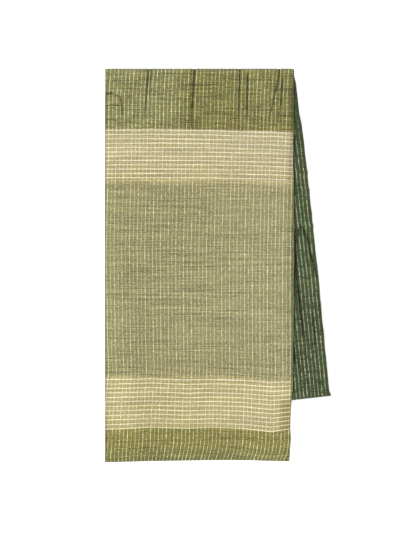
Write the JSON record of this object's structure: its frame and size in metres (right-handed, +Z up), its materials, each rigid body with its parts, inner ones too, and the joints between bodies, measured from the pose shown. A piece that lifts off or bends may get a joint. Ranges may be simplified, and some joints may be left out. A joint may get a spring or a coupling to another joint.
{
  "type": "folded saree lying flat",
  "caption": "Handloom saree folded lengthwise and to and fro, lying flat, with its striped end flap on top and the dark body strip leaning out beside it.",
  "frame": {"origin": "on the surface the saree lies on, under the middle of its bounding box", "axes": "+Z up from the surface, +Y along the folded cloth towards the straight far fold, +X across it towards the body strip that leans out"},
  "size_m": [0.3455, 0.6002, 0.0156],
  "materials": {
    "flap_cloth": "matt handloom weave, khaki with fine cream pinstripes and two cream woven bands",
    "body_cloth": "matt handloom weave, dark green with fine grey-green pinstripes",
    "thread": "matt spun thread"
  },
  "bodies": {
    "root": {"field_outer_ply": "flap_cloth", "field_under_plies": "flap_cloth", "end_outer_ply": "flap_cloth", "end_under_plies": "flap_cloth", "far_turn": "flap_cloth", "body_strip": "body_cloth", "folded_layers": "body_cloth"}
  },
  "joints": []
}
